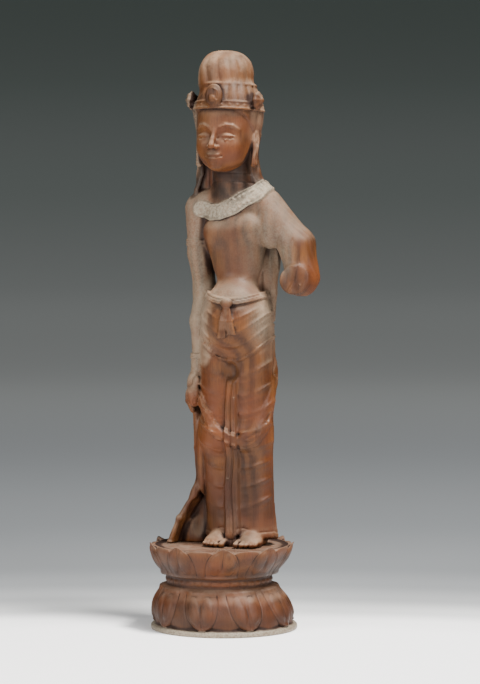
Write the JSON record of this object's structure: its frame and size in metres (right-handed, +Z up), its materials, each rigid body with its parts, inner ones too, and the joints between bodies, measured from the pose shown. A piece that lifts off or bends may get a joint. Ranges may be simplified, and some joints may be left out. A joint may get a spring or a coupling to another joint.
{
  "type": "bodhisattva figure",
  "caption": "Slender standing bodhisattva with high topknot, clinging skirt and scarf, one arm hanging and one broken at the elbow, on a round double lotus pedestal.",
  "frame": {"origin": "centre of the pedestal foot's flat underside, on the surface it stands on", "axes": "+Z up through the pedestal, -Y the way the figure faces, +X the figure's own left"},
  "size_m": [0.0958, 0.0818, 0.3205],
  "materials": {
    "figure_wood": "carved old reddish wood, worn satin, paler dust on its upper sides",
    "pedestal_wood": "carved old reddish wood, darker, worn satin"
  },
  "bodies": {
    "root": {"figure": "figure_wood", "lotus_pedestal": "pedestal_wood"}
  },
  "joints": []
}
